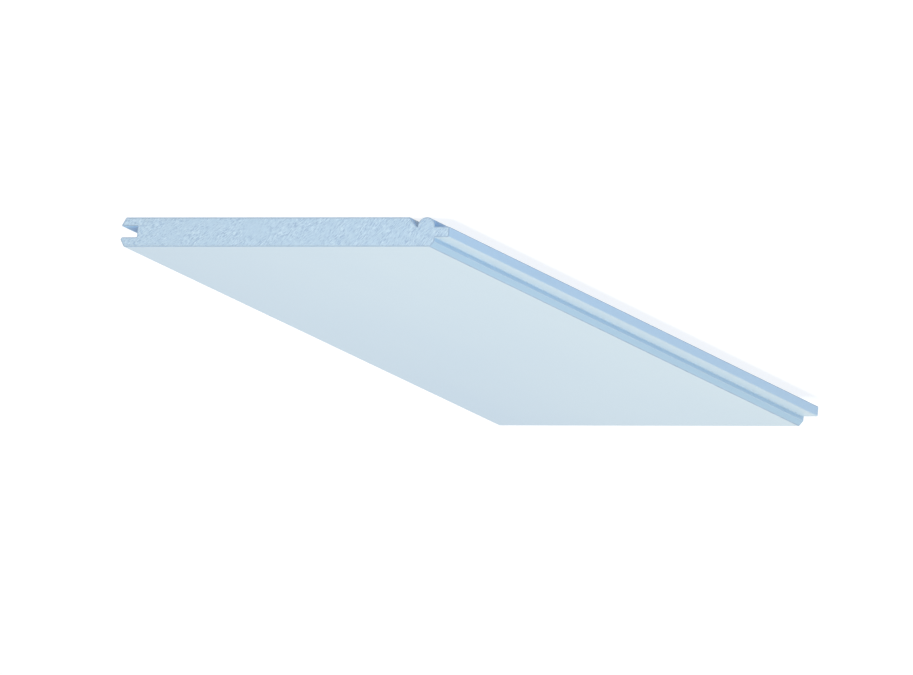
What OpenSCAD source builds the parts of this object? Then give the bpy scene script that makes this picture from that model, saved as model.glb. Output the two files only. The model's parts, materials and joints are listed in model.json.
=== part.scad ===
// Reversible tongue-and-groove eaves lining board: a vee joint on one face, a bead on the other.
// The board lies along Y on its bead face, with its tongue towards -X and its origin at floor
// level under the middle of the board. All the moulding is in one cross-section, drawn in X
// and Y below and stood up along Z when it is extruded.

/* [Board] */
// Length of the board
board_length = 360; // [100:10:6000]
// Width that one fixed board covers, from its vee shoulder to the tip of its vee lip
cover_width = 138; // [80:1:200]
// Thickness, from the bead face to the vee face
thickness = 12; // [11.5:0.5:21]

/* [Tongue] */
// How far the tongue stands out of its shoulder
tongue_reach = 6.2; // [4:0.1:9]
// Thickness of the tongue
tongue_thickness = 4.2; // [3:0.1:4.8]
// How far the tongue's middle lies from mid-thickness, towards the bead face
tongue_offset = 0.1; // [0:0.05:0.3]
// Rounding of the two corners at the tongue's tip
tongue_arris = 0.35; // [0.1:0.05:1]

/* [Groove] */
// Clearance between tongue and groove on the vee side
vee_slack = 0.05; // [0.02:0.01:0.3]
// Clearance between tongue and groove on the bead side
bead_slack = 0.3; // [0.05:0.05:0.5]
// Clearance past the tongue's tip at the bottom of the groove
tip_slack = 0.9; // [0.2:0.1:2]
// How far the bead lip stops short of the vee lip, so that the vee joint closes first
lip_setback = 0.15; // [0:0.05:0.6]
// Lead-in on the vee lip's inner corner, which also clears the root of the tongue
mouth_lead = 0.6; // [0.1:0.05:0.9]
// Radius that the cutters leave in inner corners
cutter_radius = 0.4; // [0.1:0.05:0.8]

/* [Vee joint] */
// Width that each bevel takes off its face
bevel_width = 1.7; // [0.5:0.1:3]
// Depth of the bevels on the two lips of the groove
lip_bevel_depth = 2.95; // [1:0.05:3.3]
// Depth of the bevel over the tongue
shoulder_bevel_depth = 2.1; // [1:0.1:3.4]

/* [Bead] */
// Radius of the bead, whose crown is level with the bead face
bead_radius = 3.8; // [2:0.1:4.5]
// How far the bead's outer flank stands back from the vee shoulder
bead_setback = 0.25; // [0:0.05:1]
// Depth of the quirk, the sunk channel beside the bead
quirk_depth = 3.8; // [2:0.05:5]
// Width of the flat at the bottom of the quirk
quirk_floor = 0.45; // [0.2:0.05:2]
// Width of the quirk's sloping wall, up to the bead face
quirk_slope = 3.3; // [1:0.1:5]

/* [Hidden] */
$fn = 96;
primer_blue = "#BBD3E6";
overrun = 1; // how far a cut runs past the surface that it opens

overall_width = tongue_reach + cover_width;
tip_x = -overall_width / 2;
shoulder_x = tip_x + tongue_reach;
lip_x = overall_width / 2;
bead_lip_x = lip_x - lip_setback;

tongue_mid = thickness / 2 - tongue_offset;
tongue_low = tongue_mid - tongue_thickness / 2;
tongue_high = tongue_mid + tongue_thickness / 2;

groove_low = tongue_low - bead_slack;
groove_high = tongue_high + vee_slack;
groove_end_x = lip_x - tongue_reach - tip_slack;

bead_shoulder_x = shoulder_x + bead_setback;
bead_x = bead_shoulder_x + bead_radius;
quirk_x = bead_x + bead_radius + quirk_floor;
bead_face_x = quirk_x + quirk_slope;

// The sawn blank that the moulder is fed with.
module blank() {
    translate([tip_x, 0]) square([overall_width, thickness]);
}

// What rounding takes off a corner at the origin that faces -X and -Y.
module round_waste(radius) {
    difference() {
        square(radius);
        translate([radius, radius]) circle(radius);
    }
}

// What a bevel takes off: side is 1 on the +X edge and -1 on the -X edge,
// and inward is 1 on the bead face and -1 on the vee face.
module bevel_waste(edge_x, face_y, depth, side, inward) {
    polygon([
        [edge_x - side * bevel_width, face_y],
        [edge_x, face_y + inward * depth],
        [edge_x + side * overrun, face_y + inward * depth],
        [edge_x + side * overrun, face_y - inward * overrun],
        [edge_x - side * bevel_width, face_y - inward * overrun]
    ]);
}

// The rebate that leaves the vee shoulder standing over the tongue.
module vee_rebate() {
    difference() {
        translate([tip_x - overrun, tongue_high])
            square([tongue_reach + overrun, thickness - tongue_high + overrun]);
        translate([shoulder_x, tongue_high]) mirror([1, 0]) round_waste(cutter_radius);
    }
}

// The rebate on the tongue's other side and the quirk, cut away around the bead.
module bead_rebate() {
    difference() {
        union() {
            translate([tip_x - overrun, -overrun])
                square([bead_x - tip_x + overrun, tongue_low + overrun]);
            quirk();
        }
        bead();
    }
}

module quirk() {
    polygon([
        [bead_x, -overrun],
        [bead_x, quirk_depth],
        [quirk_x, quirk_depth],
        [bead_face_x, 0],
        [bead_face_x, -overrun]
    ]);
}

// The half-round bead, on a stem that reaches into the board.
module bead() {
    translate([bead_x, bead_radius]) circle(bead_radius);
    translate([bead_shoulder_x, bead_radius])
        square([2 * bead_radius, tongue_mid - bead_radius]);
}

// The slot that takes the next board's tongue, with the bead lip trimmed back beside it.
module groove() {
    difference() {
        translate([groove_end_x, groove_low])
            square([lip_x - groove_end_x + overrun, groove_high - groove_low]);
        translate([groove_end_x, groove_low]) round_waste(cutter_radius);
        translate([groove_end_x, groove_high]) mirror([0, 1]) round_waste(cutter_radius);
    }
    translate([bead_lip_x, -overrun])
        square([lip_setback + overrun, groove_low + 2 * overrun]);
    polygon([
        [lip_x - mouth_lead, groove_high],
        [lip_x + overrun, groove_high + mouth_lead + overrun],
        [lip_x + overrun, groove_high]
    ]);
}

module board_section() {
    difference() {
        blank();
        vee_rebate();
        bead_rebate();
        translate([tip_x, tongue_low]) round_waste(tongue_arris);
        translate([tip_x, tongue_high]) mirror([0, 1]) round_waste(tongue_arris);
        groove();
        bevel_waste(shoulder_x, thickness, shoulder_bevel_depth, -1, -1);
        bevel_waste(lip_x, thickness, lip_bevel_depth, 1, -1);
        bevel_waste(bead_lip_x, 0, lip_bevel_depth, 1, 1);
    }
}

module lining_board() {
    color(primer_blue)
        rotate([90, 0, 0])
            linear_extrude(height = board_length, center = true)
                board_section();
}

lining_board();
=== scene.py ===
# %% [markdown]
# # Eaves lining board
# The real object is one length of pine, 12 mm thick, that a moulder has run past its knives:
# a tongue along one edge, a groove along the other, a vee joint on one face and a bead on the
# other. It leaves the factory in pale blue primer, and it lies flat on its beaded face.
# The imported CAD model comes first, because every size and place below starts from its box.

import json
from math import cos, radians, sin, tan

import bmesh
import bpy
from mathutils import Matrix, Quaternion, Vector

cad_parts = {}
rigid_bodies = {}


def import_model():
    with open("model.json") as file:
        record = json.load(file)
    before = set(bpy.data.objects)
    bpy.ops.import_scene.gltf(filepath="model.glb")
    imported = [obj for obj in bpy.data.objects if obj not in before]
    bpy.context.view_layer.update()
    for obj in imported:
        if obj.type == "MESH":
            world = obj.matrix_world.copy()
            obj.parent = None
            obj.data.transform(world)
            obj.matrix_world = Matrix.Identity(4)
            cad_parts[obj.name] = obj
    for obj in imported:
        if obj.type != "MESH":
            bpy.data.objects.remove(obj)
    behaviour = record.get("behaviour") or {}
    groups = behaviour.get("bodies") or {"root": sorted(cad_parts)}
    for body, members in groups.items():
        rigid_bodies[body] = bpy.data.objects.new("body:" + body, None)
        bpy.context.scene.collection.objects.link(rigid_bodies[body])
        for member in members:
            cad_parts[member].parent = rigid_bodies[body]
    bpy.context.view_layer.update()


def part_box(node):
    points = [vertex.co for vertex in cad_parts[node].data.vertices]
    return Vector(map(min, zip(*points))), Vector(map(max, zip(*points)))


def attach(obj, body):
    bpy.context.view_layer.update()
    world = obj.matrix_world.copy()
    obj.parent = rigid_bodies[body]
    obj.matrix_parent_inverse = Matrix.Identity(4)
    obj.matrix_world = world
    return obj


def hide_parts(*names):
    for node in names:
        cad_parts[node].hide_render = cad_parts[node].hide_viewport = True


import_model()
MM = 0.001
low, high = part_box("lining_board")
print("The board measures, in mm:", [round(side / MM, 1) for side in high - low])

# %% [markdown]
# ## The camera
# The board is seen from above its front end and a little from the tongue's side. Drawings of
# mouldings keep parallel edges parallel. A real camera comes close to that with a very long
# lens, far away, so that is what stands here. It is rolled half a turn, which puts the end
# section at the top left of the picture. Depth of field and shift are left alone.

# %% Stand the camera
VIEW_AZIMUTH = radians(-25.6)
VIEW_ELEVATION = radians(10.4)
VIEW_ROLL = radians(185)
VIEW_DISTANCE = 12.24  # metres
LENS = 1200  # mm, in front of the standard 36 mm sensor
AIM_OFFSET = 6.9 * MM  # from the board's middle towards its groove, which centres the view
aim = Vector(((low.x + high.x) / 2 + AIM_OFFSET, (low.y + high.y) / 2, high.z))

towards_camera = Vector((
    sin(VIEW_AZIMUTH) * cos(VIEW_ELEVATION),
    -cos(VIEW_AZIMUTH) * cos(VIEW_ELEVATION),
    sin(VIEW_ELEVATION),
))
level_turn = towards_camera.to_track_quat("Z", "Y")
rolled_turn = level_turn @ Quaternion((0, 0, 1), VIEW_ROLL)
bpy.ops.object.camera_add(
    location=aim + VIEW_DISTANCE * towards_camera,
    rotation=rolled_turn.to_euler(),
)
camera = bpy.context.object
camera.data.lens = LENS
camera.data.clip_end = 2 * VIEW_DISTANCE
bpy.context.scene.camera = camera
bpy.context.scene.view_settings.view_transform = "Standard"
print("The camera stands, in metres, at", [round(number, 2) for number in camera.location])


# %% [markdown]
# ## Helpers for finishes
# Colours are written as sRGB hex values, the way paint cards and web pages give them, and
# shaders want linear light, so one function turns one into the other, by the curve of the
# sRGB standard. One gives an empty tree to start from. Another adds one node to a tree, sets
# it and links it, so that each finish below reads as a list of nodes.

# %% Helpers for colours and nodes
def linear(hex_colour):
    """Turns an sRGB colour such as #BBD3E6 into the linear RGBA that a shader wants."""
    channels = [int(hex_colour[start:start + 2], 16) / 255 for start in (1, 3, 5)]
    return [c / 12.92 if c <= 0.04045 else ((c + 0.055) / 1.055) ** 2.4 for c in channels] + [1]


def empty_tree(owner):
    """The node tree of a material or a world, with nothing in it yet."""
    owner.use_nodes = True
    owner.node_tree.nodes.clear()
    return owner.node_tree


def add_node(tree, kind, settings=None, inputs=None):
    """Adds a node, sets its properties, and sets or links its inputs."""
    node = tree.nodes.new(kind)
    for name, value in (settings or {}).items():
        setattr(node, name, value)
    for name, value in (inputs or {}).items():
        if isinstance(value, bpy.types.NodeSocket):
            tree.links.new(value, node.inputs[name])
        else:
            node.inputs[name].default_value = value
    return node


print("Half of white, #808080, is this much linear light:", round(linear("#808080")[0], 3))

# %% [markdown]
# ## The studio
# The floor is a light table, a sheet of white acrylic with a weak light below, which a
# product studio uses to keep the ground white and the shadows open. A board has narrow gaps
# under it, and they would otherwise go black. It could be a box with lamps in it, but one
# large plane that glows looks the same and renders faster. It lies just clear of the board.

# %% Lay the floor
FLOOR_SIZE = 40  # metres, so large that no side view sees its edge
FLOOR_GAP = 0.05 * MM  # keeps the board's underside from lying in the very same plane
bpy.ops.object.select_all(action="DESELECT")
bpy.ops.mesh.primitive_plane_add(size=FLOOR_SIZE, location=(0, 0, low.z - FLOOR_GAP))
floor = bpy.context.object
floor.name = "studio_floor"
print("The table lies", FLOOR_GAP / MM, "mm below the board and is", FLOOR_SIZE, "m wide")

# %% [markdown]
# A thing may look brighter to the camera than it shines on the board. Shaders can be mixed by
# the kind of light ray that asks, and one function gives that mix its switch. Another makes
# a surface that glows: acrylic scatters light evenly, so a diffuse surface and an emission,
# added up, are enough for it.

# %% Helpers for the studio
def when_seen(tree):
    """1 for rays that reach the camera, also by gloss or glass, and 0 for other light."""
    ray = add_node(tree, "ShaderNodeLightPath")
    seen = add_node(tree, "ShaderNodeMath", {"operation": "MAXIMUM"}, {
        0: ray.outputs["Is Camera Ray"],
        1: ray.outputs["Is Glossy Ray"],
    })
    seen_through = add_node(tree, "ShaderNodeMath", {"operation": "MAXIMUM"}, {
        0: seen.outputs[0],
        1: ray.outputs["Is Transmission Ray"],
    })
    return seen_through.outputs[0]


def glowing(tree, body, light, strength):
    """A surface that is lit as its body colour and gives some light of its own."""
    surface = add_node(tree, "ShaderNodeBsdfDiffuse", inputs={"Color": linear(body)})
    glow = add_node(tree, "ShaderNodeEmission", inputs={
        "Color": linear(light),
        "Strength": strength,
    })
    both = add_node(tree, "ShaderNodeAddShader", inputs={
        0: surface.outputs[0],
        1: glow.outputs[0],
    })
    return both.outputs[0]


acrylic = bpy.data.materials.new("white_acrylic_light_table")
tree = empty_tree(acrylic)
floor.data.materials.append(acrylic)
print("The table is made of", acrylic.name)

# %% [markdown]
# The weak glow lights the board. What is seen of the table glows more, so it comes out white
# without more light on the board, and it keeps a faint shadow. That glow grows away from the
# board, where the lamps no longer reach.

# %% Light the floor from below
LAMPLIT = 0.6  # metres from the board, within which the table keeps its shadow
LAMPS_END = 2.4  # metres from the board, where the lamps no longer reach
TABLE_GLOW = 0.33
SEEN_GLOW_LAMPLIT = 0.85
SEEN_GLOW_BEYOND = 1
spot = add_node(tree, "ShaderNodeTexCoord").outputs["Object"]
away = add_node(tree, "ShaderNodeVectorMath", {"operation": "LENGTH"}, {0: spot})
seen_glow = add_node(tree, "ShaderNodeMapRange", inputs={
    "Value": away.outputs["Value"],
    "From Min": LAMPLIT,
    "From Max": LAMPS_END,
    "To Min": SEEN_GLOW_LAMPLIT,
    "To Max": SEEN_GLOW_BEYOND,
})
table_top = add_node(tree, "ShaderNodeMixShader", inputs={
    0: when_seen(tree),
    1: glowing(tree, body="#C6CFD9", light="#F6FBFF", strength=TABLE_GLOW),
    2: glowing(tree, body="#8C8C8C", light="#FFFFFF", strength=seen_glow.outputs[0]),
})
add_node(tree, "ShaderNodeOutputMaterial", inputs={"Surface": table_top.outputs[0]})
print(acrylic.name, "has", len(tree.nodes), "nodes")

# %% [markdown]
# The world is a white room. Cameras and reflections see it at full white, and its light fills
# the shadows a little weaker and cooler, as daylight from a window would.

# %% Fill the room with light
ROOM_FILL = 0.45
room = bpy.data.worlds.new("white_room")
bpy.context.scene.world = room
tree = empty_tree(room)
fill = add_node(tree, "ShaderNodeBackground", inputs={
    "Color": linear("#DCEEFF"),
    "Strength": ROOM_FILL,
})
white = add_node(tree, "ShaderNodeBackground", inputs={"Color": linear("#FFFFFF"), "Strength": 1})
either = add_node(tree, "ShaderNodeMixShader", inputs={
    0: when_seen(tree),
    1: fill.outputs[0],
    2: white.outputs[0],
})
add_node(tree, "ShaderNodeOutputWorld", inputs={"Surface": either.outputs[0]})
print("The room fills the shadows at", ROOM_FILL, "of full white")


# %% [markdown]
# Soft lamps do the rest. A large one in front and above lights the sawn end and the vee face.
# A long strip over the tongue's side makes the board a little paler there. A small cool one,
# low on that side, keeps the shoulder and the tongue's tip from going grey. A weaker one, low
# on the other side, looks into the groove. The two low lamps are hidden from glossy rays, or
# the faces would mirror them as blue patches in low views.

# %% Hang the lamps
def hang_soft_lamp(name, place, length, width, watts, colour):
    """Hangs a lamp at a place, facing the board, with its length level."""
    turn = Vector(place).to_track_quat("Z", "Y").to_euler()
    bpy.ops.object.light_add(type="AREA", location=place, rotation=turn)
    lamp = bpy.context.object
    lamp.name = name
    lamp.data.shape = "RECTANGLE"
    lamp.data.size = length
    lamp.data.size_y = width
    lamp.data.energy = watts
    lamp.data.color = linear(colour)[:3]
    print(name, "gives", watts, "W from", place)
    return lamp


hang_soft_lamp("front_lamp", (0, -2.8, 3.0), length=2.8, width=2.8, watts=80, colour="#FFE4BE")
hang_soft_lamp("strip_lamp", (-0.1, 0, 0.4), length=1.4, width=0.2, watts=1.3, colour="#ECF8FF")
side_lamp = hang_soft_lamp(
    "side_lamp", (-1.2, -1.0, 0.3), length=0.5, width=0.5, watts=5.3, colour="#63B7FF"
)
groove_lamp = hang_soft_lamp(
    "groove_lamp", (1.2, 0.4, 0.3), length=0.5, width=0.5, watts=2.5, colour="#BFE0FF"
)
for low_lamp in (side_lamp, groove_lamp):
    low_lamp.visible_glossy = False

# %% [markdown]
# ## Growth rings, once for everything
# Pine is built of rings round a pith, and each cut shows the same rings: as arcs on the sawn
# ends, as long lines on the planed faces. So the rings are worked out once, in space, and the
# relief of the ends and the finishes all read them, which makes the lines meet at the
# corners. Sizes are in millimetres. This board comes from well outside the pith, which lies
# below it and beyond the groove, so the rings cross the section steeply. A slow noise makes
# them stray from true circles.

# %% Describe the log
PITH = Vector((175, 0, -190)) + (low + high) / 2 / MM
ACROSS_THE_LOG = Vector((1, 0, 1))
RING_WANDER = 4  # how far a ring strays from its circle
WANDER_SIZE = Vector((12, 240, 12))


def ring_radius(tree, in_mm, from_pith):
    """How far out from the pith a place lies, in mm, by rings that stray a little."""
    slow = add_node(tree, "ShaderNodeVectorMath", {"operation": "DIVIDE"}, {
        0: in_mm,
        1: WANDER_SIZE,
    })
    wander = add_node(tree, "ShaderNodeTexNoise", inputs={"Vector": slow.outputs[0], "Scale": 1})
    spoke = add_node(tree, "ShaderNodeVectorMath", {"operation": "MULTIPLY"}, {
        0: from_pith,
        1: ACROSS_THE_LOG,
    })
    circle = add_node(tree, "ShaderNodeVectorMath", {"operation": "LENGTH"}, {0: spoke.outputs[0]})
    radius = add_node(tree, "ShaderNodeMath", {"operation": "MULTIPLY_ADD"}, {
        0: wander.outputs[0],
        1: RING_WANDER,
        2: circle.outputs["Value"],
    })
    return radius.outputs[0]


print("From the pith to the middle of the board, in mm:", round(PITH.length))


# %% [markdown]
# A fibre follows its ring, so a place in the board is turned into a place in the log: how far
# out from the pith, how far round it and how far along. The way round is the angle times the
# board's own distance from the pith, which makes it a length.

# %% Find a place in the log
def place_in_log(tree, place):
    """How far out, how far round and how far along the log a place lies, in mm."""
    in_mm = add_node(tree, "ShaderNodeVectorMath", {"operation": "SCALE"}, {
        0: place,
        "Scale": 1 / MM,
    }).outputs[0]
    from_pith = add_node(tree, "ShaderNodeVectorMath", {"operation": "SUBTRACT"}, {
        0: in_mm,
        1: PITH,
    }).outputs[0]
    axes = add_node(tree, "ShaderNodeSeparateXYZ", inputs={0: from_pith})
    turn = add_node(tree, "ShaderNodeMath", {"operation": "ARCTAN2"}, {
        0: axes.outputs["Z"],
        1: axes.outputs["X"],
    })
    arc = add_node(tree, "ShaderNodeMath", {"operation": "MULTIPLY"}, {
        0: turn.outputs[0],
        1: PITH.length,
    })
    in_log = add_node(tree, "ShaderNodeCombineXYZ", inputs={
        "X": ring_radius(tree, in_mm, from_pith),
        "Y": arc.outputs[0],
        "Z": axes.outputs["Y"],
    })
    return in_log.outputs[0]


print("A turn of one degree is this long on the board, in mm:", round(PITH.length * radians(1), 1))

# %% [markdown]
# Each ring is one year's growth. Its wood is soft and pale in spring and thickens slowly to a
# dark, hard line in autumn, where the next year starts at once. So the fraction of a year
# runs through a slow rise and a quick fall.

# %% Darken the rings
RING_WIDTH = 4.6
DARK_RING_START = 0.45  # of a year's growth
DARK_RING_FULL = 0.88
DARK_RING_END = 0.92  # where the fall to the next year starts


def dark_rings(tree, in_log):
    """How dark the ring is at a place in the log, from 0 in spring to 1 in autumn."""
    axes = add_node(tree, "ShaderNodeSeparateXYZ", inputs={0: in_log})
    year = add_node(tree, "ShaderNodeMath", {"operation": "DIVIDE"}, {
        0: axes.outputs["X"],
        1: RING_WIDTH,
    })
    season = add_node(tree, "ShaderNodeMath", {"operation": "FRACT"}, {0: year.outputs[0]})
    thickening = add_node(tree, "ShaderNodeMapRange", {"interpolation_type": "SMOOTHSTEP"}, {
        "Value": season.outputs[0],
        "From Min": DARK_RING_START,
        "From Max": DARK_RING_FULL,
    })
    winter = add_node(tree, "ShaderNodeMapRange", {"interpolation_type": "SMOOTHSTEP"}, {
        "Value": season.outputs[0],
        "From Min": 1,
        "From Max": DARK_RING_END,
    })
    dark_ring = add_node(tree, "ShaderNodeMath", {"operation": "MULTIPLY"}, {
        0: thickening.outputs[0],
        1: winter.outputs[0],
    })
    return dark_ring.outputs[0]


print("Of its", RING_WIDTH, "mm, a ring is pale for", round(DARK_RING_START * RING_WIDTH, 1))

# %% [markdown]
# The fibres are a noise that is stretched along the board and a little along the ring. Real
# fibres of pine are some 0.03 mm across, which is far too fine to show, so these are drawn
# about ten times coarser, as the clumps that a saw tears out.

# %% Lay the fibres
FIBRE_SIZE = (0.39, 2.2, 90)  # across the ring, along the ring, along the board
FIBRE_LAYERS = 2  # finer noises on top of the first
FIBRE_LAYER_STRENGTH = 0.8  # of each finer noise, against the one before


def wood(tree, place):
    """How dark the ring is and how the fibres lie at a place in the board, both 0 to 1."""
    in_log = place_in_log(tree, place)
    fine = add_node(tree, "ShaderNodeVectorMath", {"operation": "DIVIDE"}, {
        0: in_log,
        1: FIBRE_SIZE,
    })
    fibres = add_node(tree, "ShaderNodeTexNoise", inputs={
        "Vector": fine.outputs[0],
        "Scale": 1,
        "Detail": FIBRE_LAYERS,
        "Roughness": FIBRE_LAYER_STRENGTH,
    })
    return dark_rings(tree, in_log), fibres.outputs[0]


print("The clumps of fibres measure, in mm:", FIBRE_SIZE)


# %% [markdown]
# ## The finishes
# One primer covers the whole board. It looks different where it has soaked in or drawn thin, and
# four of the finishes are copies of it with painted shade, so there are seven finishes. They share
# its shader and two small helpers: one makes a cloudy noise of a given size, the other puts
# colours on a ramp.

# %% Open the primer
PRIMER_IOR = 1.5  # an acrylic binder


def primer(name, roughness):
    """A new finish with its shader, and the place that its patterns read."""
    material = bpy.data.materials.new(name)
    tree = empty_tree(material)
    shader = add_node(tree, "ShaderNodeBsdfPrincipled", inputs={
        "IOR": PRIMER_IOR,
        "Roughness": roughness,
    })
    add_node(tree, "ShaderNodeOutputMaterial", inputs={"Surface": shader.outputs[0]})
    place = add_node(tree, "ShaderNodeTexCoord").outputs["Object"]
    return material, tree, shader, place


def cloud(tree, place, size):
    """Soft noise whose clouds have a size in mm, from 0 to 1."""
    scaled = add_node(tree, "ShaderNodeVectorMath", {"operation": "DIVIDE"}, {
        0: place,
        1: Vector(size) * MM,
    })
    noise = add_node(tree, "ShaderNodeTexNoise", inputs={"Vector": scaled.outputs[0], "Scale": 1})
    return noise.outputs[0]


def put_colours(ramp_node, stops):
    """Puts a colour on a ramp at each stop. A new ramp has a first and a last stop already."""
    elements = ramp_node.color_ramp.elements
    for element, (position, colour) in zip(elements, (stops[0], stops[-1])):
        element.position = position
        element.color = linear(colour)
    for position, colour in stops[1:-1]:
        elements.new(position).color = linear(colour)


print("The primer bends light by an index of", PRIMER_IOR)

# %% [markdown]
# ### Primer on moulded pine
# The faces are planed before they are primed. The primer shows the ripple that the turning
# knives leave across the board, every 1.6 mm or so, and the grain that its water has raised.
# Both are a few thousandths of a millimetre deep and change only how the light falls, so they
# are bumps in the finish and not in the mesh.

# %% Let the ripple and the grain show through
KNIFE_SPACING = 1.6 * MM
KNIFE_DEPTH = 0.003 * MM
WAVES_PER_UNIT = 0.314  # Blender's wave texture has twenty radians to a unit
RAISED_GRAIN = 0.006 * MM
RING_RAISE = 0.5  # how far a dark ring stands out, against 1 for the fibres


def planed_relief(tree, place):
    """The normal of a planed face, bumped by its raised grain and its knife ripple."""
    dark_ring, fibres = wood(tree, place)
    raised_grain = add_node(tree, "ShaderNodeMath", {"operation": "MULTIPLY_ADD"}, {
        0: dark_ring,
        1: RING_RAISE,
        2: fibres,
    })
    grain_bump = add_node(tree, "ShaderNodeBump", inputs={
        "Height": raised_grain.outputs[0],
        "Distance": RAISED_GRAIN,
    })
    spacing = add_node(tree, "ShaderNodeVectorMath", {"operation": "SCALE"}, {
        0: place,
        "Scale": 1 / KNIFE_SPACING,
    })
    ripple = add_node(tree, "ShaderNodeTexWave", {"bands_direction": "Y"}, {
        "Vector": spacing.outputs[0],
        "Scale": WAVES_PER_UNIT,
    })
    ripple_bump = add_node(tree, "ShaderNodeBump", inputs={
        "Height": ripple.outputs["Fac"],
        "Distance": KNIFE_DEPTH,
        "Normal": grain_bump.outputs[0],
    })
    return ripple_bump.outputs[0]


print("Knife marks along the board:", round((high.y - low.y) / KNIFE_SPACING))

# %% [markdown]
# A thin water-based primer dries to a low sheen and is never quite even. Its colour carries
# painted light across the board, paler towards the tongue and deeper towards the groove. The
# narrow edges and the bevels are painted shade, a shade or two deeper, for faces that turn away
# from the light. They are the same finish in other colours, so one function makes all three.

# %% Finishes for the planed faces, and painted shade for the edges and the bevels
SATIN = 0.35  # roughness of the dry primer
SATIN_SPREAD = 0.03  # how much it varies either way
PAINTED_LIGHT_SHARE = 0.65  # share of the painted light across the board in the colour, the rest being cloudy
COAT_CLOUDS = (40, 160, 40)  # mm, across, along and through the board


def moulded_primer(name, deep, pale):
    """Primer over knife ripple and grain, painted light from deep at the groove to pale at the
    tongue.
    """
    material, tree, shader, place = primer(name, roughness=SATIN)
    across = add_node(tree, "ShaderNodeSeparateXYZ", inputs={0: place})
    # painted light: the colour runs from deep at the groove to pale at the tongue, as light
    # falling across the board
    painted_light_across = add_node(tree, "ShaderNodeMapRange", inputs={
        "Value": across.outputs["X"],
        "From Min": high.x,
        "From Max": low.x,
    })
    coat_and_light = add_node(tree, "ShaderNodeMix", {"data_type": "FLOAT"}, {
        0: PAINTED_LIGHT_SHARE,
        2: cloud(tree, place, COAT_CLOUDS),
        3: painted_light_across.outputs[0],
    })
    body_colour = add_node(tree, "ShaderNodeValToRGB", inputs={0: coat_and_light.outputs[0]})
    put_colours(body_colour, [(0.15, deep), (0.85, pale)])
    tree.links.new(body_colour.outputs[0], shader.inputs["Base Color"])
    sheen = add_node(tree, "ShaderNodeMapRange", inputs={
        "Value": coat_and_light.outputs[0],
        "To Min": SATIN - SATIN_SPREAD,
        "To Max": SATIN + SATIN_SPREAD,
    })
    tree.links.new(sheen.outputs[0], shader.inputs["Roughness"])
    tree.links.new(planed_relief(tree, place), shader.inputs["Normal"])
    print(name, "has", len(tree.nodes), "nodes")
    return material


planed = moulded_primer("primer_on_planed_pine", deep="#BCD1E0", pale="#CCDCE3")
# painted shade: the edges and the bevels get deeper copies of the primer, for faces turned away
# from the light
shaded_edges = moulded_primer("primer_in_painted_shade_on_the_edges", deep="#B3CDE2", pale="#C2D8E6")
shaded_bevels = moulded_primer("primer_in_painted_shade_on_the_bevels", deep="#ADC7D7", pale="#B5CFDC")


# %% [markdown]
# ### Primer drawn thin, and painted shade in the groove
# Wet paint draws back from a corner, so a thin grey line runs along every sharp arris, where the
# wood shows through. The groove is painted shade: a deeper, clearer blue where shade falls inside
# it. Both are soft clouds between two colours.

# %% Finishes for the arrises, and painted shade for the groove
def cloudy_primer(name, roughness, clouds, deep, pale):
    """Primer in soft clouds of a size in mm, between two colours."""
    material, tree, shader, place = primer(name, roughness)
    body_colour = add_node(tree, "ShaderNodeValToRGB", inputs={0: cloud(tree, place, clouds)})
    put_colours(body_colour, [(0.3, deep), (0.7, pale)])
    tree.links.new(body_colour.outputs[0], shader.inputs["Base Color"])
    print(name, "has", len(tree.nodes), "nodes")
    return material


thin = cloudy_primer(
    "primer_drawn_thin_on_the_arris",
    roughness=0.5,
    clouds=(1.5, 6, 1.5),
    deep="#9BAFC0",
    pale="#ABBFD0",
)
# painted shade: the groove gets a deeper, clearer blue, where shade falls inside it
shaded_groove = cloudy_primer(
    "primer_in_painted_shade_in_the_groove",
    roughness=0.4,
    clouds=(2, 25, 2),
    deep="#90C4E7",
    pale="#9CCBEB",
)

# %% [markdown]
# ### Painted shade round the bead
# The quirk beside the bead and the corner under the tongue are painted dark, as painted shade
# where the tongue and the bead keep the light out. That fades out towards the bead's crown.
# The colour is a ramp up the height of the bead, with some cloud to make it uneven.

# %% Painted shade for the bead, its quirk and the underside of the tongue
BEAD_RADIUS = 3.8 * MM
SHADE_CLOUDS = (2, 25, 2)  # mm, drawn out along the board
SHADE_CLOUD_SHARE = 0.3  # how far the clouds shift the ramp, against 1 for the height of the bead
# painted shade: dark in the quirk and under the tongue, fading towards the bead's crown
bead_in_shade, tree, shader, place = primer("primer_in_painted_shade_round_the_bead", roughness=0.4)
axes = add_node(tree, "ShaderNodeSeparateXYZ", inputs={0: place})
height = add_node(tree, "ShaderNodeMapRange", inputs={
    "Value": axes.outputs["Z"],
    "From Min": low.z,
    "From Max": low.z + BEAD_RADIUS,
})
uneven = add_node(tree, "ShaderNodeMath", {"operation": "MULTIPLY_ADD"}, {
    0: cloud(tree, place, SHADE_CLOUDS),
    1: SHADE_CLOUD_SHARE,
    2: height.outputs[0],
})
body_colour = add_node(tree, "ShaderNodeValToRGB", inputs={0: uneven.outputs[0]})
put_colours(body_colour, [(0.15, "#C3D6E1"), (0.45, "#86AFCF"), (1, "#7DA7C9")])
tree.links.new(body_colour.outputs[0], shader.inputs["Base Color"])
print(bead_in_shade.name, "has", len(tree.nodes), "nodes")

# %% [markdown]
# ### Primer soaked into end grain
# A sawn end drinks the primer. The soft earlywood drinks most, and the saw tears small flecks
# out of it along the rings, more in some places than in others, so the end is a shade deeper
# than the faces and finely flecked. The flecks are the fibres again. A cloud says how strong
# they are: where it is weak, the colour stays near the middle of the ramp.

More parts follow.
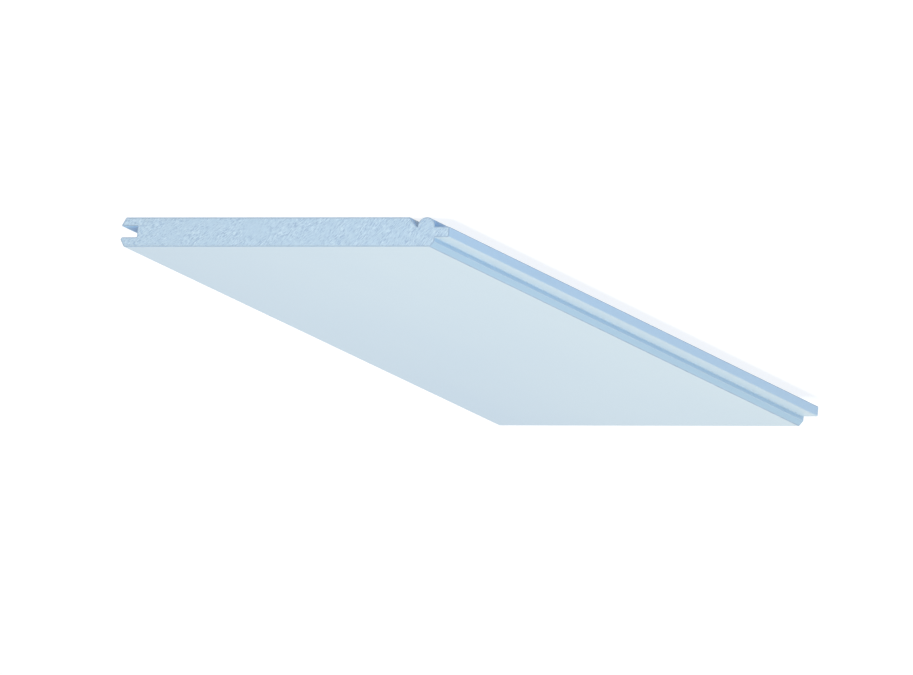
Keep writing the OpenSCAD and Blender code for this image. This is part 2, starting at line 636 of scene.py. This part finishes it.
# %% Flecks of the sawn ends
RING_DRINK = -0.03  # a dark ring drinks a little less than the wood beside it
EVEN_COLOUR = 0.485  # the middle of the flecks, on the ramp from deep to pale
TORN_CLOUDS = (9, 7.5, 9)  # mm
CLOUD_VALLEY = 0.35  # a cloud is seldom below this
CLOUD_HILL = 0.65  # or above this
FLECKS_WEAK = 0.4
FLECKS_STRONG = 1.27  # past 1 the mix overshoots, which deepens them
soaked, tree, shader, place = primer("primer_soaked_into_end_grain", roughness=0.6)
dark_ring, fibres = wood(tree, place)
drunk = add_node(tree, "ShaderNodeMath", {"operation": "MULTIPLY_ADD"}, {
    0: dark_ring,
    1: RING_DRINK,
    2: fibres,
})
torn = add_node(tree, "ShaderNodeMapRange", inputs={
    "Value": cloud(tree, place, TORN_CLOUDS),
    "From Min": CLOUD_VALLEY,
    "From Max": CLOUD_HILL,
    "To Min": FLECKS_WEAK,
    "To Max": FLECKS_STRONG,
})
flecks = add_node(tree, "ShaderNodeMix", {"data_type": "FLOAT", "clamp_factor": False}, {
    0: torn.outputs[0],
    2: EVEN_COLOUR,
    3: drunk.outputs[0],
})
flecked_colour = add_node(tree, "ShaderNodeValToRGB", inputs={0: flecks.outputs[0]})
put_colours(flecked_colour, [
    (0.38, "#A3B9CD"),
    (0.47, "#BDD1DE"),
    (0.54, "#C4D7E2"),
    (0.64, "#D4E4EC"),
])
print("The flecks are between", FLECKS_WEAK, "and", FLECKS_STRONG, "of the fibres' strength")

# %% [markdown]
# The wiper for the faces reaches a little way down the end, and leaves a greyer band there.
# So the flecked colour is multiplied by a grey near the two faces. The torn flecks also get a
# bump, which is finer than the relief that the mesh can hold.

# %% Wiped band and tear-out
WIPED_BAND = 0.9 * MM
WIPED_TINT = "#FBF7F4"
TEAR_OUT = 0.08 * MM
axes = add_node(tree, "ShaderNodeSeparateXYZ", inputs={0: place})
from_middle = add_node(tree, "ShaderNodeMath", {"operation": "SUBTRACT"}, {
    0: axes.outputs["Z"],
    1: (low.z + high.z) / 2,
})
either_way = add_node(tree, "ShaderNodeMath", {"operation": "ABSOLUTE"}, {
    0: from_middle.outputs[0],
})
wiped = add_node(tree, "ShaderNodeMapRange", inputs={
    "Value": either_way.outputs[0],
    "From Min": (high.z - low.z) / 2 - WIPED_BAND,
    "From Max": (high.z - low.z) / 2 - WIPED_BAND / 2,
})
body_colour = add_node(tree, "ShaderNodeMix", {"data_type": "RGBA", "blend_type": "MULTIPLY"}, {
    0: wiped.outputs[0],
    6: flecked_colour.outputs[0],
    7: linear(WIPED_TINT),
})
tree.links.new(body_colour.outputs[2], shader.inputs["Base Color"])
torn_bump = add_node(tree, "ShaderNodeBump", inputs={"Height": fibres, "Distance": TEAR_OUT})
tree.links.new(torn_bump.outputs[0], shader.inputs["Normal"])
print(soaked.name, "has", len(tree.nodes), "nodes")

# %% [markdown]
# ## The section, drawn with a pencil
# All that makes this board what it is lies in its section, so the section is drawn first and
# then drawn out to length, as the moulder does it. There are other ways: cutting a block with
# Boolean knives gives the same shape with more untidy faces. Here one vertex is the pencil.
# The sizes are those of the CAD section. Heights are measured up from the bead face.

# %% Sizes of the section
TONGUE_REACH = 6.2 * MM
TONGUE_LOW = low.z + 3.8 * MM
TONGUE_HIGH = low.z + 8.0 * MM
GROOVE_LOW = low.z + 3.5 * MM
GROOVE_HIGH = low.z + 8.05 * MM
GROOVE_DEPTH = 7.1 * MM
LIP_SETBACK = 0.15 * MM
MOUTH_LEAD = 0.6 * MM
BEVEL_WIDTH = 1.7 * MM
LIP_BEVEL_DEPTH = 2.95 * MM
SHOULDER_BEVEL_DEPTH = 2.1 * MM
BEAD_SETBACK = 0.25 * MM
QUIRK_FLOOR = 0.45 * MM
QUIRK_SLOPE = 3.3 * MM

shoulder_x = low.x + TONGUE_REACH
bead_left_x = shoulder_x + BEAD_SETBACK
bead_right_x = bead_left_x + 2 * BEAD_RADIUS
quirk_x = bead_right_x + QUIRK_FLOOR
bead_face_x = quirk_x + QUIRK_SLOPE
groove_end_x = high.x - GROOVE_DEPTH
bead_lip_x = high.x - LIP_SETBACK
print("The board covers, in mm:", round((high.x - shoulder_x) / MM, 1))

# %% [markdown]
# Each corner of the section has its place and the radius that it is rounded to, or 0 where it
# stays sharp. The pencil starts at the underside of the tongue's tip and goes round by the
# bead, the quirk, the bead face, the groove and the vee face. The bead is two corners of one
# square tab, each rounded until they meet. Knives leave a small radius in inner corners, and
# the outer ones are eased with sandpaper. Two of them, on the tongue's upper side, keep their
# paint, so they have a radius of their own.

# %% Corners of the section
CUTTER_RADIUS = 0.4 * MM  # what a knife leaves in an inner corner
ARRIS_RADIUS = 0.45 * MM  # the touch of sandpaper on an outer corner
VEE_RADIUS = 0.6 * MM  # more of it, where the vee face meets its bevels
SOFT_RADIUS = 0.5 * MM  # the two outer corners that keep their paint
SECTION = [
    (low.x, TONGUE_LOW, ARRIS_RADIUS),
    (bead_left_x, TONGUE_LOW, 0),
    (bead_left_x, low.z, BEAD_RADIUS),
    (bead_right_x, low.z, BEAD_RADIUS),
    (bead_right_x, low.z + BEAD_RADIUS, 0),
    (quirk_x, low.z + BEAD_RADIUS, 0),
    (bead_face_x, low.z, ARRIS_RADIUS),
    (bead_lip_x - BEVEL_WIDTH, low.z, ARRIS_RADIUS),
    (bead_lip_x, low.z + LIP_BEVEL_DEPTH, 0),
    (bead_lip_x, GROOVE_LOW, 0),
    (groove_end_x, GROOVE_LOW, CUTTER_RADIUS),
    (groove_end_x, GROOVE_HIGH, CUTTER_RADIUS),
    (high.x - MOUTH_LEAD, GROOVE_HIGH, 0),
    (high.x, GROOVE_HIGH + MOUTH_LEAD, 0),
    (high.x, high.z - LIP_BEVEL_DEPTH, 0),
    (high.x - BEVEL_WIDTH, high.z, VEE_RADIUS),
    (shoulder_x + BEVEL_WIDTH, high.z, VEE_RADIUS),
    (shoulder_x, high.z - SHOULDER_BEVEL_DEPTH, SOFT_RADIUS),
    (shoulder_x, TONGUE_HIGH, CUTTER_RADIUS),
    (low.x, TONGUE_HIGH, SOFT_RADIUS),
]
END_EASE = 0.12 * MM  # the saw's sharp corner, just broken
corners = [Vector((x, low.y + END_EASE, z)) for x, z, radius in SECTION]
print("Corners to draw:", len(corners))

# %% [markdown]
# A small plane is added, its corners are merged into one vertex, and that vertex is extruded
# from corner to corner. Filling the outline makes one flat face, the section. The seven
# finishes are put in the board's slots here, so that the faces can be given them later.

# %% Draw the outline
bpy.ops.object.select_all(action="DESELECT")
bpy.ops.mesh.primitive_plane_add(size=MM, location=corners[0])
board = bpy.context.object
board.name = "moulded_board"
for finish in (planed, shaded_edges, shaded_bevels, thin, shaded_groove, bead_in_shade, soaked):
    board.data.materials.append(finish)
bpy.ops.object.transform_apply(location=True, rotation=True, scale=True)
bpy.ops.object.mode_set(mode="EDIT")
bpy.ops.mesh.select_mode(type="VERT")
bpy.ops.mesh.merge(type="CENTER")
for here, there in zip(corners, corners[1:]):
    bpy.ops.mesh.extrude_region_move(TRANSFORM_OT_translate={"value": there - here})
bpy.ops.mesh.select_all(action="SELECT")
bpy.ops.mesh.edge_face_add()
print("Faces of the section:", len(bmesh.from_edit_mesh(board.data).faces))

# %% [markdown]
# ## Rounded corners
# A vertex bevel rounds one corner of a flat face. Its offset runs along the edges, from the
# corner to where the arc starts, which is the radius divided by the tangent of half the angle
# between the edges. Larger arcs get more steps.

# %% Round the corners
NEAR = 0.01 * MM
ARC_STEPS = {ARRIS_RADIUS: 4, VEE_RADIUS: 4, SOFT_RADIUS: 6, CUTTER_RADIUS: 6, BEAD_RADIUS: 24}


def select_vertex_at(corner):
    """Selects, in edit mode, only the vertex at a corner."""
    bpy.ops.mesh.select_all(action="DESELECT")
    mesh = bmesh.from_edit_mesh(board.data)
    for vertex in mesh.verts:
        vertex.select_set((vertex.co - corner).length < NEAR)
    mesh.select_flush_mode()
    bmesh.update_edit_mesh(board.data)


for number, (x, z, radius) in enumerate(SECTION):
    if not radius:
        continue
    corner = corners[number]
    to_last = corners[number - 1] - corner
    to_next = corners[(number + 1) % len(corners)] - corner
    select_vertex_at(corner)
    bpy.ops.mesh.bevel(
        offset=radius / tan(to_last.angle(to_next) / 2),
        segments=ARC_STEPS[radius],
        affect="VERTICES",
    )
bpy.ops.mesh.select_all(action="SELECT")
bpy.ops.mesh.remove_doubles(threshold=NEAR)
print("Points round the section:", len(bmesh.from_edit_mesh(board.data).verts))

# %% [markdown]
# ## Drawn out to length
# Extruding the face makes all the long sides at once, as the moulder's feed does. It stops
# short of both ends by the width of their broken corners. The faces may come out facing
# inwards, so their normals are worked out again.

# %% Draw the board out
bpy.ops.mesh.select_all(action="SELECT")
bpy.ops.mesh.extrude_region_move(
    TRANSFORM_OT_translate={"value": (0, high.y - low.y - 2 * END_EASE, 0)}
)
bpy.ops.mesh.select_all(action="SELECT")
bpy.ops.mesh.normals_make_consistent(inside=False)
print("Faces of the plain board:", len(bmesh.from_edit_mesh(board.data).faces))


# %% [markdown]
# ### A finish for each side
# By hand, faces are clicked on. Here they are picked by where they lie in the section and
# which way they face. The narrow faces round the sharp outer corners are the arrises.

# %% Ways to pick faces
SQUARE_ON = 0.99  # how much of a face's normal must lie along an axis to count as facing it
ARRISES = [Vector((x, 0, z)) for x, z, radius in SECTION if radius in (ARRIS_RADIUS, VEE_RADIUS)]
BEVELS = [
    Vector((shoulder_x + BEVEL_WIDTH / 2, 0, high.z - SHOULDER_BEVEL_DEPTH / 2)),
    Vector((high.x - BEVEL_WIDTH / 2, 0, high.z - LIP_BEVEL_DEPTH / 2)),
    Vector((bead_lip_x - BEVEL_WIDTH / 2, 0, low.z + LIP_BEVEL_DEPTH / 2)),
]


def near_one_of(marks, face, reach):
    """Whether a face lies, in the section, within reach of one of the marks."""
    spot = face.calc_center_median()
    spot.y = 0
    return any((spot - mark).length < reach for mark in marks)


def on_an_arris(face):
    """Whether a face is one of the narrow ones round a sharp outer corner."""
    return near_one_of(ARRISES, face, reach=ARRIS_RADIUS)


def on_a_bevel(face):
    """Whether a face is one of the three bevels."""
    return near_one_of(BEVELS, face, reach=BEVEL_WIDTH / 3)


def on_an_edge(face):
    """Whether a face stands upright along the board: the lips, the shoulder and the tip."""
    return abs(face.normal.x) > SQUARE_ON


def in_the_groove(face):
    """Whether a face lies in the groove."""
    spot = face.calc_center_median()
    return spot.x > groove_end_x - NEAR and GROOVE_LOW - NEAR < spot.z < GROOVE_HIGH + NEAR


def round_the_bead(face):
    """Whether a face lies on the bead, in its quirk or under the tongue."""
    spot = face.calc_center_median()
    return spot.x < bead_face_x - NEAR and spot.z < TONGUE_LOW + NEAR


print("Corners with an arris:", len(ARRISES), "and bevels:", len(BEVELS))


# %% [markdown]
# The order matters, because a later finish covers an earlier one where two ways to pick agree:
# the upright faces in the groove are edges too, and the arrises come last. Whatever isn't
# picked keeps the first slot, the primer on planed pine.

# %% Give the long sides their finishes
def select_faces(wanted):
    """Selects, in edit mode, only the faces for which wanted(face) is true."""
    bpy.ops.mesh.select_mode(type="FACE")
    bpy.ops.mesh.select_all(action="DESELECT")
    mesh = bmesh.from_edit_mesh(board.data)
    for face in mesh.faces:
        face.select_set(wanted(face))
    bmesh.update_edit_mesh(board.data)


def give_finish(finish):
    """Puts a finish on the selected faces."""
    board.active_material_index = board.data.materials.find(finish.name)
    bpy.ops.object.material_slot_assign()
    picked = [face for face in bmesh.from_edit_mesh(board.data).faces if face.select]
    print(finish.name, "is on", len(picked), "faces")


for wanted, finish in (
    (on_an_edge, shaded_edges),
    (on_a_bevel, shaded_bevels),
    (in_the_groove, shaded_groove),
    (round_the_bead, bead_in_shade),
    (on_an_arris, thin),
):
    select_faces(wanted)
    give_finish(finish)

# %% [markdown]
# ## The sawn ends
# An inset that also rises by its own width breaks the sharp corner round each end, and a
# second, flat inset leaves a rim. The primer is drawn thin on both, except where the wiper for
# the broad faces has covered the broken corner again. What lies inside is the end grain.

# %% Break the corners of the ends
END_RIM = 0.3 * MM


def on_an_end(face):
    """Whether a face is square to the board's length."""
    return abs(face.normal.y) > SQUARE_ON


def wiped_over(face):
    """Whether a face is in the broken corner between an end and a broad face."""
    spot = face.calc_center_median()
    from_end = min(spot.y - low.y, high.y - spot.y)
    from_face = min(spot.z - low.z, high.z - spot.z)
    return from_end < END_EASE and from_face < END_EASE


select_faces(on_an_end)
give_finish(thin)
bpy.ops.mesh.inset(thickness=END_EASE, depth=END_EASE)
select_faces(wiped_over)
give_finish(planed)
select_faces(on_an_end)
bpy.ops.mesh.inset(thickness=END_RIM, depth=0)
give_finish(soaked)

# %% [markdown]
# Relief needs vertices to move. The rest of the board is hidden, so that select all means the
# two ends, and a bisect at each line of a half-millimetre grid cuts both at once. The
# vertices inside the ends go into a vertex group, which keeps the rim flat later on.

# %% Cut a grid into the ends
GRAIN_GRID = 0.5 * MM
bpy.ops.mesh.hide(unselected=True)
for axis in (0, 2):  # X, then Z
    plane = Vector((axis == 0, 0, axis == 2))
    for line in range(1, int((high[axis] - low[axis]) / GRAIN_GRID) + 1):
        bpy.ops.mesh.select_all(action="SELECT")
        bpy.ops.mesh.bisect(plane_co=low + line * GRAIN_GRID * plane, plane_no=plane)
bpy.ops.mesh.select_all(action="SELECT")
bpy.ops.mesh.select_mode(type="VERT")
bpy.ops.mesh.select_less()
bpy.ops.object.vertex_group_assign_new()
board.vertex_groups.active.name = "end_grain"
bpy.ops.mesh.reveal(select=False)
bpy.ops.object.mode_set(mode="OBJECT")
print("Faces with the grid cut:", len(board.data.polygons))

# %% [markdown]
# ## Relief in the end grain
# The saw bites deeper into soft earlywood than into the dark rings, and pulls flecks out of
# it. A bump alone would leave the exported mesh flat, so the mesh itself is pressed in, by
# less than a tenth of a millimetre. Geometry Nodes can do that with the same wood as the
# finishes, so that relief and colour agree. First come the nodes that say how deep.

# %% Work out the depth
SAW_BITE = 0.015 * MM
FLECK_BITE = 0.05 * MM
FLECK_START = 0.55  # of the fibres, below which a fleck begins
FLECK_DEEPEST = 0.35
relief = bpy.data.node_groups.new("sawn_end_relief", "GeometryNodeTree")
place = add_node(relief, "GeometryNodeInputPosition").outputs[0]
dark_ring, fibres = wood(relief, place)
soft = add_node(relief, "ShaderNodeMath", {"operation": "SUBTRACT"}, {0: 1, 1: dark_ring})
bitten = add_node(relief, "ShaderNodeMath", {"operation": "MULTIPLY"}, {
    0: soft.outputs[0],
    1: SAW_BITE,
})
pulled = add_node(relief, "ShaderNodeMapRange", inputs={
    "Value": fibres,
    "From Min": FLECK_START,
    "From Max": FLECK_DEEPEST,
    "To Max": FLECK_BITE,
})
depth = add_node(relief, "ShaderNodeMath", {"operation": "ADD"}, {
    0: bitten.outputs[0],
    1: pulled.outputs[0],
})
print("The deepest that the relief can go, in mm:", round((SAW_BITE + FLECK_BITE) / MM, 3))

# %% [markdown]
# Each end is pressed towards the middle of the board, so the board never gets any longer. The
# sign of Y tells the ends apart, and the vertex group leaves everything but the end grain
# where it is. The modifier is applied, so the relief is in the mesh for good.

# %% Press the relief in
INWARDS = -1
relief.interface.new_socket("Geometry", in_out="INPUT", socket_type="NodeSocketGeometry")
relief.interface.new_socket("Geometry", in_out="OUTPUT", socket_type="NodeSocketGeometry")
mesh_in = add_node(relief, "NodeGroupInput")
end_grain = add_node(relief, "GeometryNodeInputNamedAttribute", inputs={"Name": "end_grain"})
axes = add_node(relief, "ShaderNodeSeparateXYZ", inputs={0: place})
end = add_node(relief, "ShaderNodeMath", {"operation": "SIGN"}, {0: axes.outputs["Y"]})
inwards = add_node(relief, "ShaderNodeMath", {"operation": "MULTIPLY"}, {
    0: end.outputs[0],
    1: INWARDS,
})
push = add_node(relief, "ShaderNodeMath", {"operation": "MULTIPLY"}, {
    0: depth.outputs[0],
    1: inwards.outputs[0],
})
weighed = add_node(relief, "ShaderNodeMath", {"operation": "MULTIPLY"}, {
    0: push.outputs[0],
    1: end_grain.outputs["Attribute"],
})
offset = add_node(relief, "ShaderNodeCombineXYZ", inputs={"Y": weighed.outputs[0]})
moved = add_node(relief, "GeometryNodeSetPosition", inputs={
    "Geometry": mesh_in.outputs[0],
    "Offset": offset.outputs[0],
})
add_node(relief, "NodeGroupOutput", inputs={0: moved.outputs[0]})
bpy.ops.object.modifier_add(type="NODES")
board.modifiers.active.node_group = relief
bpy.ops.object.modifier_apply(modifier=board.modifiers.active.name)
print("Vertices of the board:", len(board.data.vertices))

# %% [markdown]
# ## Smooth where it is round
# Arcs should look round and flat faces flat. Smooth shading by angle does the first, and a
# Weighted Normal modifier does the second, because large faces then decide how the light
# falls up to their very edge.

# %% Shade it
SMOOTH_BELOW = radians(30)
bpy.ops.object.shade_smooth_by_angle(angle=SMOOTH_BELOW)
bpy.ops.object.modifier_add(type="WEIGHTED_NORMAL")
board.modifiers.active.keep_sharp = True
bpy.ops.object.modifier_apply(modifier=board.modifiers.active.name)
print("Edges left sharp:", sum(edge.use_edge_sharp for edge in board.data.edges))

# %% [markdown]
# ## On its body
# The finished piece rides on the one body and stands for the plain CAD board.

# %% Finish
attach(board, "root")
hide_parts("lining_board")
